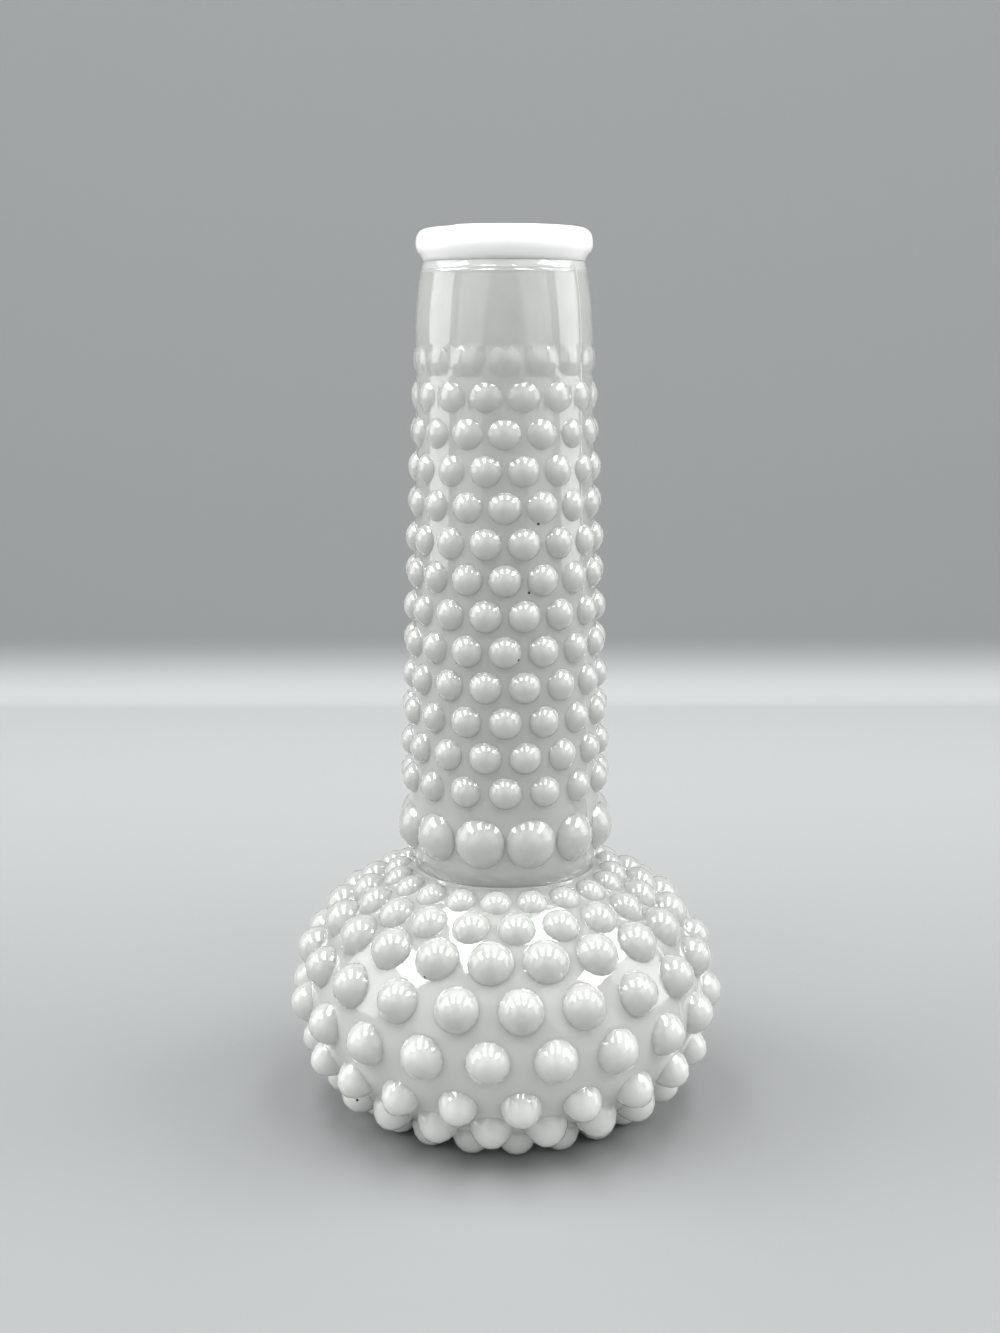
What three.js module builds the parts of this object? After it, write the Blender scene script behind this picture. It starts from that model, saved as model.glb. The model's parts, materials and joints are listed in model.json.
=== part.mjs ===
// Hobnail bud vase of milk glass: a tall hobbed neck on a round hobbed bulb.
// Millimetres, +Z up. The origin is the centre of the foot, on the surface the vase stands on.
// The neck and the bulb are one moulded glass with a rolled lip. The solids are the zones that a
// glassmaker names on it, cut square to the axis between rows of hobs, so they meet face to face.

import * as THREE from 'three';

const { clamp, degToRad, lerp, RAD2DEG } = THREE.MathUtils;

// Bulb: a flattened ball, cut off by the foot below and by the neck above
const BULB_RADIUS = 46.3;
const BULB_HALF_HEIGHT = 33;
const BULB_WALL = 4;

// Foot: a flat standing ring round a shallow hollow, and the floor of the cavity above it
const FOOT_RADIUS = 24.5;
const FLOOR_THICKNESS = 5;
const FOOT_RING_WIDTH = 4;
const FOOT_HOLLOW_DEPTH = 1.9;

// Neck: it grows wider from the smooth band under the lip down to its root, then draws in
const CREASE_RADIUS = 19.4;
const ROOT_HEIGHT = 9.9;
const ROOT_RADIUS = 22.2;
const NECK_TOP_RADIUS = 19.5;
const NECK_TAPER_POWER = 1.5;
const NECK_WALL = 3.3;
const ROOT_TO_LOWEST_ROW = 10.9;
const TOP_ROW_TO_BAND = 4.2;
const BAND_HEIGHT = 17.2;
const BAND_SWELL_HEIGHT = 9.5;

// Lip: a thick rolled ring over a narrow undercut
const UNDERCUT_DEPTH = 1.8;
const LIP_HEIGHT = 7.3;
const LIP_OVERHANG = 1.65;
const LIP_EDGE_HEIGHT = 3.4;
const LIP_ROUNDING = 2.75;

// Hobs on the neck: every row is set half a step from the one below
const NECK_ROWS = 13;
const NECK_HOBS_PER_ROW = 15;
const NECK_ROW_PITCH = 7.75;
const NECK_HOB_RADIUS = 3.45;
const NECK_HOB_HEIGHT = 2.5;
const TOP_ROW_HOB_HEIGHT = 0.6;

// One row of larger hobs on the root of the neck
const ROOT_HOBS = 12;
const ROOT_HOB_RADIUS = 5.2;
const ROOT_HOB_HEIGHT = 2.9;

// Hobs on the bulb, in rows from the foot up: level is the row's place on the oval, in degrees
// above its widest line, and the sizes are those of one hob
const BULB_HOBS_PER_ROW = 20;
const BULB_TURN = 4.2;
const BASE_ROWS = [
  { level: -48.8, hobRadius: 3.5, hobHeight: 2.8 },
];
const HEEL_ROWS = [
  { level: -35.2, hobRadius: 4.8, hobHeight: 4.2 },
  { level: -21.3, hobRadius: 4.8, hobHeight: 4.4 },
];
const BELLY_ROWS = [
  { level: -1, hobRadius: 5.1, hobHeight: 4.2 },
  { level: 17.9, hobRadius: 5.0, hobHeight: 4.3 },
];
const SHOULDER_ROWS = [
  { level: 34.8, hobRadius: 4.9, hobHeight: 3.9 },
  { level: 46.8, hobRadius: 4.1, hobHeight: 2.9 },
  { level: 57.3, hobRadius: 3.3, hobHeight: 2.1 },
];

// Each hob is a dome of six sides, with one ring of corners between its foot and its tip
const HOB_SIDES = 6;
const HOB_RING_OUT = 0.72;
const HOB_RING_UP = 0.7;
// Plain glass that is left at least between the foot of a hob and the edge of its zone
const LEAST_GROUND = 0.1;
const LIP_COLUMNS = 60;

// Places that follow from the sizes above
const creaseLevel = Math.acos(CREASE_RADIUS / BULB_RADIUS) * RAD2DEG;
const footLevel = -Math.acos(FOOT_RADIUS / BULB_RADIUS) * RAD2DEG;
const bulbCentreZ = BULB_HALF_HEIGHT * Math.sin(degToRad(-footLevel));
const floorLevel = Math.asin((FLOOR_THICKNESS - bulbCentreZ) / BULB_HALF_HEIGHT) * RAD2DEG;
const heelTopLevel = levelBetween(bulbFace, HEEL_ROWS.at(-1), BELLY_ROWS[0]);
const bellyTopLevel = levelBetween(bulbFace, BELLY_ROWS.at(-1), SHOULDER_ROWS[0]);
const creaseZ = bulbFace(creaseLevel).z;
const rootRowZ = creaseZ + ROOT_HEIGHT;
const lowestRowZ = rootRowZ + ROOT_TO_LOWEST_ROW;
const bandZ = lowestRowZ + (NECK_ROWS - 1) * NECK_ROW_PITCH + TOP_ROW_TO_BAND;
const undercutZ = bandZ + BAND_HEIGHT;
const topZ = undercutZ + LIP_HEIGHT;
const undercutRadius = NECK_TOP_RADIUS - UNDERCUT_DEPTH;
const mouthRadius = undercutRadius - NECK_WALL;
const lipRadius = undercutRadius + LIP_OVERHANG;
const lipCrestRadius = lipRadius - LIP_ROUNDING;
const rootRow = { level: rootRowZ, hobRadius: ROOT_HOB_RADIUS, hobHeight: ROOT_HOB_HEIGHT };
const neckRows = Array.from({ length: NECK_ROWS }, (_, row) => ({
  level: lowestRowZ + row * NECK_ROW_PITCH,
  hobRadius: NECK_HOB_RADIUS,
  hobHeight: lerp(NECK_HOB_HEIGHT, TOP_ROW_HOB_HEIGHT, (row / (NECK_ROWS - 1)) ** 3),
}));
const rootTopZ = levelBetween(neckFace, rootRow, neckRows[0]);

// A point of the bulb's outer face, the tilt of the face, and the millimetres to one degree of level.
function bulbFace(level) {
  const angle = degToRad(level);
  return {
    radius: BULB_RADIUS * Math.cos(angle),
    z: bulbCentreZ + BULB_HALF_HEIGHT * Math.sin(angle),
    tilt: Math.atan2(Math.sin(angle) / BULB_HALF_HEIGHT, Math.cos(angle) / BULB_RADIUS),
    stretch: Math.hypot(BULB_RADIUS * Math.sin(angle), BULB_HALF_HEIGHT * Math.cos(angle)) / RAD2DEG,
  };
}

// The same for the neck, where a level is a height. It draws in below the root row and tapers above.
function neckFace(z) {
  const below = (rootRowZ - z) / ROOT_HEIGHT;
  const above = (z - rootRowZ) / (bandZ - rootRowZ);
  const radius = below > 0
    ? CREASE_RADIUS + (ROOT_RADIUS - CREASE_RADIUS) * Math.sqrt(Math.max(1 - below ** 2, 0))
    : lerp(NECK_TOP_RADIUS, ROOT_RADIUS, Math.max(1 - above, 0) ** NECK_TAPER_POWER);
  return { radius, z, tilt: 0, stretch: 1 };
}

// Radius of the cavity in the bulb at a height.
function cavityRadius(z) {
  const rise = (z - bulbCentreZ) / (BULB_HALF_HEIGHT - BULB_WALL);
  return (BULB_RADIUS - BULB_WALL) * Math.sqrt(Math.max(1 - rise ** 2, 0));
}

// The level midway between the feet of two rows of hobs.
function levelBetween(faceAt, lower, upper) {
  const topOfLower = lower.level + lower.hobRadius / faceAt(lower.level).stretch;
  const footOfUpper = upper.level - upper.hobRadius / faceAt(upper.level).stretch;
  return (topOfLower + footOfUpper) / 2;
}

function evenSteps(from, to, steps) {
  return Array.from({ length: steps + 1 }, (_, i) => lerp(from, to, i / steps));
}

function curve(start, control, end, steps) {
  const points = [start, control, end].map(([radius, z]) => new THREE.Vector2(radius, z));
  return new THREE.QuadraticBezierCurve(...points).getPoints(steps);
}

// A closed skin of triangles, gathered corner by corner. Corners are named by their number.
function newSkin() {
  const places = [];
  const triangles = [];
  return {
    corner(point) {
      places.push(point.x, point.y, point.z);
      return places.length / 3 - 1;
    },
    triangle(a, b, c) {
      triangles.push(a, b, c);
    },
    quad(a, b, c, d) {
      triangles.push(a, b, c, a, c, d);
    },
    geometry() {
      const geometry = new THREE.BufferGeometry();
      geometry.setAttribute('position', new THREE.Float32BufferAttribute(places, 3));
      geometry.setIndex(triangles);
      geometry.computeVertexNormals();
      return geometry;
    },
  };
}

// A point at a distance from the axis. A turn is measured from the front, which faces -Y, to +X.
function turnedPoint(radius, turn, z) {
  const angle = degToRad(turn);
  return new THREE.Vector3(radius * Math.sin(angle), -radius * Math.cos(angle), z);
}

// One hob on a face: it returns the six corners of its foot, counted from the upper right. The
// foot stays between the levels of the zone's bottom and top.
function addHob(skin, { faceAt, bottom, top }, row, turn) {
  const centre = faceAt(row.level);
  const edge = LEAST_GROUND / centre.stretch;
  const outward = turnedPoint(1, turn, 0);
  const across = turnedPoint(1, turn + 90, 0);
  const normal = outward.multiplyScalar(Math.cos(centre.tilt)).setZ(Math.sin(centre.tilt));
  const along = new THREE.Vector3().crossVectors(normal, across);
  const seat = turnedPoint(centre.radius, turn, centre.z);
  const tip = skin.corner(seat.clone().addScaledVector(normal, row.hobHeight));
  const foot = [];
  const ring = [];
  for (let side = 0; side < HOB_SIDES; side++) {
    const angle = Math.PI / 6 + side * Math.PI / 3;
    const right = row.hobRadius * Math.cos(angle);
    const up = row.hobRadius * Math.sin(angle);
    const ground = faceAt(clamp(row.level + up / centre.stretch, bottom + edge, top - edge));
    const aside = right / centre.radius * RAD2DEG;
    foot.push(skin.corner(turnedPoint(ground.radius, turn + aside, ground.z)));
    ring.push(skin.corner(seat.clone()
      .addScaledVector(across, right * HOB_RING_OUT)
      .addScaledVector(along, up * HOB_RING_OUT)
      .addScaledVector(normal, row.hobHeight * HOB_RING_UP)));
  }
  for (let side = 0; side < HOB_SIDES; side++) {
    const next = (side + 1) % HOB_SIDES;
    skin.quad(foot[side], foot[next], ring[next], ring[side]);
    skin.triangle(ring[side], ring[next], tip);
  }
  return foot;
}

// The ground between two rows of hobs, where the upper row stands half a step to the side.
function fillBetweenRows(skin, lower, upper, upperOnRight) {
  const count = lower.length;
  for (let i = 0; i < count; i++) {
    const hob = lower[i];
    const right = upper[(i + upperOnRight) % count];
    const left = upper[(i + upperOnRight + count - 1) % count];
    const nextHob = lower[(i + 1) % count];
    skin.quad(hob[0], right[4], right[3], hob[1]);
    skin.quad(hob[1], left[5], left[4], hob[2]);
    skin.triangle(hob[1], right[3], left[5]);
    skin.triangle(right[4], hob[0], nextHob[2]);
  }
}

function fillAlongRow(skin, feet) {
  feet.forEach((hob, i) => {
    const next = feet[(i + 1) % feet.length];
    skin.quad(hob[5], next[3], next[2], hob[0]);
  });
}

// A plain ring has two corners to a hob: these are the one at the hob, the next, and the one after.
function cornersBy(ring, first) {
  return [0, 1, 2].map((step) => ring[(first + step) % ring.length]);
}

// The ground between the last row and the plain ring above it.
function fillAbove(skin, feet, ring, shift) {
  feet.forEach((hob, i) => {
    const next = feet[(i + 1) % feet.length];
    const [over, beside, overNext] = cornersBy(ring, 2 * i + shift);
    skin.triangle(hob[1], hob[0], over);
    skin.triangle(hob[0], beside, over);
    skin.triangle(hob[0], next[2], beside);
    skin.triangle(next[2], overNext, beside);
    skin.triangle(next[2], next[1], overNext);
  });
}

// The ground between the first row and the plain ring below it.
function fillBelow(skin, feet, ring, shift) {
  feet.forEach((hob, i) => {
    const next = feet[(i + 1) % feet.length];
    const [under, beside, underNext] = cornersBy(ring, 2 * i + shift);
    skin.triangle(hob[4], under, hob[5]);
    skin.triangle(hob[5], under, beside);
    skin.triangle(hob[5], beside, next[3]);
    skin.triangle(next[3], beside, underNext);
    skin.triangle(next[3], underNext, next[4]);
  });
}

// A ring of corners at one radius and height, or a single corner on the axis.
function addRing(skin, point, columns, startTurn) {
  if (point.x === 0) return [skin.corner(new THREE.Vector3(0, 0, point.y))];
  return Array.from({ length: columns }, (_, i) =>
    skin.corner(turnedPoint(point.x, startTurn + 360 * i / columns, point.y)));
}

// The skin between two rings, seen with the first one below when it faces outward.
function stitch(skin, first, second) {
  const columns = Math.max(first.length, second.length);
  for (let i = 0; i < columns; i++) {
    const next = (i + 1) % columns;
    if (first.length === 1) skin.triangle(first[0], second[next], second[i]);
    else if (second.length === 1) skin.triangle(first[i], first[next], second[0]);
    else skin.quad(first[i], first[next], second[next], second[i]);
  }
}

const vase = new THREE.Group();

function addPiece(name, colour, geometry) {
  const material = new THREE.MeshStandardMaterial({ color: colour, roughness: 0.12, metalness: 0 });
  const piece = new THREE.Mesh(geometry, material);
  piece.name = name;
  vase.add(piece);
}

// A zone with hobs. The rows are listed from the bottom up, each half a step on from the last, and
// firstRow is the number of the lowest one. The outline goes on inside from the top of the outer
// face, and ends below it or on the axis. A zone with an underside starts that on the axis.
function addHobbedZone(zone) {
  const { name, faceAt, bottom, top, rows, firstRow, count, startTurn, inside, under } = zone;
  const skin = newSkin();
  const columns = 2 * count;
  const ringAt = (point) => addRing(skin, point, columns, startTurn);
  const edgeRing = (level) => {
    const edge = faceAt(level);
    return ringAt(new THREE.Vector2(edge.radius, edge.z));
  };
  const feet = rows.map((row, i) => {
    const shift = (firstRow + i) % 2;
    const turns = Array.from({ length: count }, (_, hob) => startTurn + (hob + shift / 2) * 360 / count);
    return turns.map((turn) => addHob(skin, zone, row, turn));
  });
  feet.forEach((rowFeet, i) => {
    fillAlongRow(skin, rowFeet);
    if (i > 0) fillBetweenRows(skin, feet[i - 1], rowFeet, (firstRow + i - 1) % 2);
  });
  const bottomRing = edgeRing(bottom);
  const topRing = edgeRing(top);
  fillBelow(skin, feet[0], bottomRing, firstRow % 2);
  fillAbove(skin, feet.at(-1), topRing, (firstRow + rows.length - 1) % 2);
  const rest = [topRing, ...inside.map(ringAt), ...under.map(ringAt), bottomRing];
  for (let i = 1; i < rest.length; i++) {
    const acrossTheAxis = rest[i - 1].length === 1 && rest[i].length === 1;
    if (!acrossTheAxis) stitch(skin, rest[i - 1], rest[i]);
  }
  addPiece(name, MILK_GLASS, skin.geometry());
}

// A smooth turned zone: the lathe works about Y, so its points are laid over to stand along Z.
function addSmoothZone(name, colour, outline) {
  const geometry = new THREE.LatheGeometry([...outline, outline[0].clone()], LIP_COLUMNS);
  const place = geometry.attributes.position;
  for (let i = 0; i < place.count; i++) {
    place.setXYZ(i, place.getX(i), -place.getZ(i), place.getY(i));
  }
  geometry.computeVertexNormals();
  addPiece(name, colour, geometry);
}

const MILK_GLASS = '#d9dedb';
const LIP_GLASS = '#f3f5f3';

// Bulb: four zones, with the rows numbered on from the foot so that the half steps follow on
function cavityFace(topHeight, bottomHeight, steps) {
  return evenSteps(topHeight, bottomHeight, steps).map((z) => new THREE.Vector2(cavityRadius(z), z));
}

const hollowRadius = FOOT_RADIUS - FOOT_RING_WIDTH;
const footHollow = evenSteps(0, Math.PI / 2, 3).map((angle) =>
  new THREE.Vector2(hollowRadius * Math.sin(angle), FOOT_HOLLOW_DEPTH * Math.cos(angle)));
footHollow.at(-1).y = 0;

const bulb = { faceAt: bulbFace, count: BULB_HOBS_PER_ROW, startTurn: BULB_TURN, under: [] };
const heelTopZ = bulbFace(heelTopLevel).z;
const bellyTopZ = bulbFace(bellyTopLevel).z;
addHobbedZone({
  ...bulb,
  name: 'base',
  bottom: footLevel,
  top: floorLevel,
  rows: BASE_ROWS,
  firstRow: 0,
  inside: [new THREE.Vector2(0, FLOOR_THICKNESS)],
  under: footHollow,
});
addHobbedZone({
  ...bulb,
  name: 'heel_wall',
  bottom: floorLevel,
  top: heelTopLevel,
  rows: HEEL_ROWS,
  firstRow: BASE_ROWS.length,
  inside: cavityFace(heelTopZ, FLOOR_THICKNESS, 3),
});
addHobbedZone({
  ...bulb,
  name: 'belly_wall',
  bottom: heelTopLevel,
  top: bellyTopLevel,
  rows: BELLY_ROWS,
  firstRow: BASE_ROWS.length + HEEL_ROWS.length,
  inside: cavityFace(bellyTopZ, heelTopZ, 3),
});
addHobbedZone({
  ...bulb,
  name: 'shoulder_wall',
  bottom: bellyTopLevel,
  top: creaseLevel,
  rows: SHOULDER_ROWS,
  firstRow: BASE_ROWS.length + HEEL_ROWS.length + BELLY_ROWS.length,
  inside: [
    new THREE.Vector2(CREASE_RADIUS - NECK_WALL, creaseZ),
    ...cavityFace(creaseZ - BULB_WALL, bellyTopZ, 3),
  ],
});

// Neck: the root with its row of larger hobs, then the long wall
function boreFace(topHeight, bottomHeight, steps) {
  return evenSteps(topHeight, bottomHeight, steps)
    .map((z) => new THREE.Vector2(neckFace(z).radius - NECK_WALL, z));
}

addHobbedZone({
  name: 'neck_root',
  faceAt: neckFace,
  bottom: creaseZ,
  top: rootTopZ,
  rows: [rootRow],
  firstRow: 1,
  count: ROOT_HOBS,
  startTurn: 0,
  inside: boreFace(rootTopZ, creaseZ, 3),
  under: [],
});

addHobbedZone({
  name: 'neck_wall',
  faceAt: neckFace,
  bottom: rootTopZ,
  top: bandZ,
  rows: neckRows,
  firstRow: 0,
  count: NECK_HOBS_PER_ROW,
  startTurn: 0,
  inside: boreFace(bandZ, rootTopZ, 4),
  under: [],
});

// Smooth band, and the rolled lip on it
const bandSwellZ = bandZ + BAND_SWELL_HEIGHT;
const lipEdgeZ = undercutZ + LIP_EDGE_HEIGHT;
addSmoothZone('neck_band', MILK_GLASS, [
  ...curve([NECK_TOP_RADIUS, bandZ], [NECK_TOP_RADIUS, bandSwellZ], [undercutRadius, undercutZ], 5),
  new THREE.Vector2(mouthRadius, undercutZ),
  new THREE.Vector2(NECK_TOP_RADIUS - NECK_WALL, bandZ),
]);
addSmoothZone('lip_ring', LIP_GLASS, [
  ...curve([undercutRadius, undercutZ], [lipRadius, undercutZ], [lipRadius, lipEdgeZ], 4),
  ...curve([lipRadius, lipEdgeZ], [lipRadius, topZ], [lipCrestRadius, topZ], 4).slice(1),
  ...curve([lipCrestRadius, topZ], [mouthRadius, topZ], [mouthRadius, lipEdgeZ], 3).slice(1),
  new THREE.Vector2(mouthRadius, undercutZ),
]);

export default vase;
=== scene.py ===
# %% [markdown]
# # A hobnail bud vase in milk glass
# The imported part is the fixed frame: its eight solids are zones of one moulded glass, in metres,
# standing at the origin. The scene dresses that frame. It is loaded first.

# %% Load the frame
import json
import math

import bpy
from mathutils import Matrix, Vector

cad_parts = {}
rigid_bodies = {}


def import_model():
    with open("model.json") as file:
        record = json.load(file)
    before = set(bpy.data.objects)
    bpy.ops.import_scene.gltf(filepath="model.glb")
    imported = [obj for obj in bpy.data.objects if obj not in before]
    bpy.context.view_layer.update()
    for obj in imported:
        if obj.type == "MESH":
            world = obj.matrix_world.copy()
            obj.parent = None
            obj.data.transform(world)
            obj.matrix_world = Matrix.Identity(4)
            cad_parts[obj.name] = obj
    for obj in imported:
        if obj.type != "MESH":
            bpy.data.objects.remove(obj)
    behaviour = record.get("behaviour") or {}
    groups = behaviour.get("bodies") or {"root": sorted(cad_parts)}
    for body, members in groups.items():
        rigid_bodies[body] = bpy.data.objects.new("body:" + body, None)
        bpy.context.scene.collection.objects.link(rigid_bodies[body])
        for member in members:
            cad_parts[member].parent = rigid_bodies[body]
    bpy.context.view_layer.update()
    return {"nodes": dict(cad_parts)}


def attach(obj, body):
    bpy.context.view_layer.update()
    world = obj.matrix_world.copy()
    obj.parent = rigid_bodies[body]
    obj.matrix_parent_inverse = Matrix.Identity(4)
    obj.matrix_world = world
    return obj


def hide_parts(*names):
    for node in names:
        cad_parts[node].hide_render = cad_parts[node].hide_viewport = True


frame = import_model()
MM = 0.001
print("zones:", sorted(frame["nodes"]))

# %% [markdown]
# The camera comes before the looks. On the real shot it stood a little below the mouth of the vase,
# about 39 cm in front of it, and looked slightly down. Its place and lens were found by laying the
# rings of hobs over the photograph. A sensor of 36 mm on the long side gives the lens in millimetres.

# %% Camera at the photograph's viewing angle
# millimetres and degrees, the pitch counted from looking straight down
CAMERA_PLACE, CAMERA_PITCH, CAMERA_ROLL = (-1.1, -388.6, 177.0), 79.30, -0.13
SENSOR, LENS, NEAR_CLIP = 36, 46.96, 10

camera_data = bpy.data.cameras.new("camera")
camera_data.sensor_width = SENSOR
camera_data.lens = LENS
camera_data.clip_start = NEAR_CLIP * MM
camera = bpy.data.objects.new("camera", camera_data)
bpy.context.collection.objects.link(camera)
camera.matrix_world = (
    Matrix.Translation([v * MM for v in CAMERA_PLACE])
    @ Matrix.Rotation(math.radians(CAMERA_PITCH), 4, "X")
    @ Matrix.Rotation(math.radians(CAMERA_ROLL), 4, "Z")
)
bpy.context.scene.camera = camera
print("camera", [round(v / MM) for v in camera.location], "mm")

# %% [markdown]
# The outline of the glass is the profile that a mould maker would draw: half of a flattened ball, a
# crease, the root of the neck that swells out again, the long taper and the smooth band. It could be
# copied from the frame's facets, but a profile from the same sizes, as functions of height or of an
# angle, gives an even, fine curve. The sizes are the part's own, in millimetres.

# %% The outer faces of bulb and neck
BULB_RADIUS, BULB_HALF_HEIGHT, BULB_WALL = 46.3, 33.0, 4.0
FOOT_RADIUS, FLOOR_THICKNESS, FOOT_RING_WIDTH, FOOT_HOLLOW_DEPTH = 24.5, 5.0, 4.0, 1.9
CREASE_RADIUS, ROOT_HEIGHT, ROOT_RADIUS = 19.4, 9.9, 22.2
NECK_TOP_RADIUS, NECK_TAPER_POWER, NECK_WALL = 19.5, 1.5, 3.3
NECK_ROWS, NECK_ROW_PITCH = 13, 7.75
ROOT_TO_LOWEST_ROW, TOP_ROW_TO_BAND = 10.9, 4.2
BAND_HEIGHT, BAND_SWELL_HEIGHT, UNDERCUT_DEPTH = 17.2, 9.5, 1.8
LIP_HEIGHT, LIP_OVERHANG, LIP_ROUNDING = 7.3, 1.65, 2.75

foot_level = -math.degrees(math.acos(FOOT_RADIUS / BULB_RADIUS))
crease_level = math.degrees(math.acos(CREASE_RADIUS / BULB_RADIUS))
bulb_centre = BULB_HALF_HEIGHT * math.sin(math.radians(-foot_level))


def bulb_face(level, raised=0.0):
    """Radius, height and tilt of the bulb's face at a level, in degrees above its widest line."""
    angle = math.radians(level)
    tilt = math.atan2(math.sin(angle) / BULB_HALF_HEIGHT, math.cos(angle) / BULB_RADIUS)
    radius = BULB_RADIUS * math.cos(angle) + raised * math.cos(tilt)
    height = bulb_centre + BULB_HALF_HEIGHT * math.sin(angle) + raised * math.sin(tilt)
    return radius, height, tilt


crease = bulb_face(crease_level)[1]
root_row = crease + ROOT_HEIGHT
lowest_row = root_row + ROOT_TO_LOWEST_ROW
band = lowest_row + (NECK_ROWS - 1) * NECK_ROW_PITCH + TOP_ROW_TO_BAND
undercut = band + BAND_HEIGHT
top = undercut + LIP_HEIGHT
undercut_radius = NECK_TOP_RADIUS - UNDERCUT_DEPTH
mouth_radius = undercut_radius - NECK_WALL


def neck_face(height):
    """Radius of the neck at a height: drawn in below the root row, tapering above it."""
    if height < root_row:
        below = min((root_row - height) / ROOT_HEIGHT, 1)
        return CREASE_RADIUS + (ROOT_RADIUS - CREASE_RADIUS) * math.sqrt(1 - below**2)
    above = max(1 - (height - root_row) / (band - root_row), 0)
    return NECK_TOP_RADIUS + (ROOT_RADIUS - NECK_TOP_RADIUS) * above**NECK_TAPER_POWER


print(f"crease at {crease:.1f}, lowest neck row at {lowest_row:.1f}, top at {top:.1f} mm")

# %% [markdown]
# The plain shell under the hobs is turned: the outline goes up the outside, over the top of the
# band and back down the cavity, and closes at the foot on the axis. It could be made by a Screw
# modifier, but a spin in mesh code lets each point shift a little with its turn, as worked glass
# does, and leaves single points on the axis, so the skin is closed.


# %% A turned skin
def steps_between(first, last, steps):
    return [first + (last - first) * i / steps for i in range(steps + 1)]


def bowed(start, control, end, steps):
    """Points of a bowed curve between two points, the last one included."""
    return [
        tuple((1 - t) ** 2 * a + 2 * t * (1 - t) * b + t * t * c for a, b, c in zip(start, control, end))
        for t in steps_between(0, 1, steps)
    ]


def turned_mesh(name, outline, columns, worked):
    """A closed skin turned about the axis from (radius, height) points in mm, the outside going up.
    worked shifts a point by its turn, which counts in radians from the front to the right."""
    verts, rings = [], []
    for radius, height in outline:
        count = 1 if radius < 1e-6 else columns
        rings.append(range(len(verts), len(verts) + count))
        for i in range(count):
            turn = 2 * math.pi * i / columns
            r, z = worked(radius, height, turn)
            verts.append((r * MM * math.sin(turn), -r * MM * math.cos(turn), z * MM))
    faces = []
    for lower, upper in zip(rings, rings[1:] + rings[:1]):
        for i in range(columns):
            k = (i + 1) % columns
            if len(lower) == 1 and len(upper) == 1:
                continue
            if len(lower) == 1:
                faces.append((lower[0], upper[k], upper[i]))
            elif len(upper) == 1:
                faces.append((lower[i], lower[k], upper[0]))
            else:
                faces.append((lower[i], lower[k], upper[k], upper[i]))
    mesh = bpy.data.meshes.new(name)
    mesh.from_pydata(verts, [], faces)
    mesh.validate()
    return mesh


def add_object(name, mesh):
    piece = bpy.data.objects.new(name, mesh)
    bpy.context.collection.objects.link(piece)
    return piece


def bump_at(value, centre, width):
    """A smooth swelling of height 1 at centre, gone at width to either side."""
    off = abs(value - centre) / width
    return (1 + math.cos(math.pi * off)) / 2 if off < 1 else 0.0


# %% [markdown]
# A mould leaves marks. Two fine lines run round the band under the lip, where the tool that holds
# the neck closed on the glass, and one runs along the crease, where neck and bulb moulds meet. They
# could be bump in the material, but a line that catches the light at any angle needs real flanks,
# so they are raised in the outline. The lines under the lip fade and break as they go round. Glass
# never fills a mould to a knife edge, so the bottom of the crease is rounded up a little.

# %% The shell of the vase
# the crease's line by its level and reach in degrees, its height and the filled bottom in mm
CREASE_LINE_LEVEL, CREASE_LINE_REACH, CREASE_LINE_HEIGHT, CREASE_FILLED = 63.3, 0.8, 0.22, 0.55
BULB_FACE_END = 62.4
# the lines under the lip in mm, and the turn in degrees at which each is broken
LIP_LINE_HEIGHTS, LIP_LINE_REACH, LIP_LINE_RISE = (190.95, 191.75), 0.35, 0.16
LIP_LINES_BETWEEN, LIP_LINE_BREAKS, BREAK_REACH = (190.4, 192.3), (38, 12), 7
# the band's unevenness, how far from the band's ends it is full, and a margin at its edges, in mm
BAND_UNEVENNESS, FULL_OVER_FOOT, FULL_UNDER_LIP, EDGE_MARGIN = 0.05, 6, 3, 0.01
SHELL_COLUMNS = 120


def cavity_radius(height):
    rise = (height - bulb_centre) / (BULB_HALF_HEIGHT - BULB_WALL)
    return (BULB_RADIUS - BULB_WALL) * math.sqrt(max(1 - rise**2, 0))


def moulded(radius, height, turn):
    """The mould lines under the lip, and a slow unevenness of the smooth band."""
    inside = radius < undercut_radius - EDGE_MARGIN
    if height < band or height > undercut - EDGE_MARGIN or inside:
        return radius, height
    from_front = math.degrees(turn + math.pi) % 360 - 180
    # each line is nearly gone at its gap, and both fade towards the sides and the back
    for line, gap in zip(LIP_LINE_HEIGHTS, LIP_LINE_BREAKS):
        broken = 1 - 0.9 * bump_at(from_front, gap, BREAK_REACH)
        fading = 0.35 + 0.65 * max(math.cos(turn), 0) ** 0.5
        radius += LIP_LINE_RISE * bump_at(height, line, LIP_LINE_REACH) * broken * fading
    share = min((height - band) / FULL_OVER_FOOT, 1) * min((undercut - height) / FULL_UNDER_LIP, 1)
    # three slow waves round the neck, none in step with another
    uneven = math.sin(3 * turn + 0.4) + 0.6 * math.sin(7 * turn + height / 5) + 0.4 * math.sin(11 * turn)
    return radius + BAND_UNEVENNESS * share * uneven, height


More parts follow.
